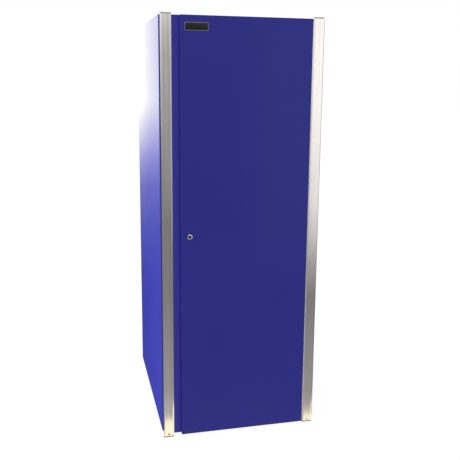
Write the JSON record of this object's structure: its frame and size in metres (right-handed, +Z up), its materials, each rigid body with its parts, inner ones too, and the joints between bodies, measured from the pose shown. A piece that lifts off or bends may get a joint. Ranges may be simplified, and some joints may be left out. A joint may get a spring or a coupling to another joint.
{
  "type": "locker cabinet",
  "caption": "Tall upright storage locker with a full-height hinged door, corner trims, adjustable shelves and a key lock that drives bolt rods.",
  "frame": {"origin": "middle of the footprint, on the floor", "axes": "+X to the right of someone who faces the door, +Y to the back, +Z up"},
  "size_m": [0.6176, 0.764, 1.602],
  "materials": {
    "blue_paint": "gloss powder coat with a faint orange peel",
    "black_paint": "satin",
    "trim_aluminium": "brushed along the length",
    "cap_metal": "satin",
    "zinc_steel": "zinc plated",
    "lock_chrome": "polished",
    "plate_metal": "satin rim",
    "plate_black": "gloss, blank",
    "black_plastic": "matte",
    "blue_plastic": "satin",
    "black_rubber": "matte"
  },
  "bodies": {
    "cabinet": {"left_side_panel": "blue_paint", "right_side_panel": "blue_paint", "back_panel": "blue_paint", "top_panel": "blue_paint", "floor_panel": "blue_paint", "lock_stile": "blue_paint", "hinge_stile": "blue_paint", "header_rail": "blue_paint", "sill_rail": "blue_paint", "left_trim": "trim_aluminium", "right_trim": "trim_aluminium", "left_trim_top_cap": "cap_metal", "left_trim_bottom_cap": "cap_metal", "right_trim_top_cap": "cap_metal", "right_trim_bottom_cap": "cap_metal", "trim_screws": "zinc_steel", "front_base_channel": "black_paint", "rear_base_channel": "black_paint", "back_panel_screws": "zinc_steel", "side_hole_plugs": "blue_plastic", "front_left_standard": "zinc_steel", "front_right_standard": "zinc_steel", "back_left_standard": "zinc_steel", "back_right_standard": "zinc_steel", "lower_shelf": "blue_paint", "middle_shelf": "blue_paint", "upper_shelf": "blue_paint", "lower_shelf_clips": "zinc_steel", "middle_shelf_clips": "zinc_steel", "upper_shelf_clips": "zinc_steel", "upper_catch": "black_plastic", "lower_catch": "black_plastic", "hinge_frame_leaf": "zinc_steel", "hinge_pin": "zinc_steel"},
    "door": {"door_skin": "blue_paint", "door_liner": "blue_paint", "door_stiffener": "blue_paint", "hinge_door_leaf": "zinc_steel", "nameplate_frame": "plate_metal", "nameplate_insert": "plate_black", "upper_strike": "zinc_steel", "lower_strike": "zinc_steel", "door_bumpers": "black_rubber", "rod_guides": "black_plastic", "lock_housing": "lock_chrome", "lock_nut": "zinc_steel"},
    "lock": {"lock_plug": "lock_chrome", "lock_cam": "zinc_steel", "cam_screw": "zinc_steel"},
    "upper_rod": {"upper_lock_rod": "zinc_steel"},
    "lower_rod": {"lower_lock_rod": "zinc_steel"}
  },
  "joints": [
    {"name": "door_hinge", "type": "hinge", "parent": "cabinet", "child": "door", "pos_m": [0.26, -0.368, 0.8], "axis": [0, 0, 1], "range_deg": [0, 115]},
    {"name": "lock_turn", "type": "hinge", "parent": "door", "child": "lock", "pos_m": [-0.2025, -0.378, 0.801], "axis": [0, -1, 0], "range_deg": [0, 90]},
    {"name": "upper_rod_slide", "type": "slide", "parent": "door", "child": "upper_rod", "axis": [0, 0, 1], "range_m": [0, 0.01697]},
    {"name": "lower_rod_slide", "type": "slide", "parent": "door", "child": "lower_rod", "axis": [0, 0, -1], "range_m": [0, 0.01697]}
  ],
  "couplings": [
    {"joint": "lock_turn", "follows": "upper_rod_slide", "rad_per_m": 92.557},
    {"joint": "lower_rod_slide", "follows": "upper_rod_slide", "ratio": 1}
  ]
}
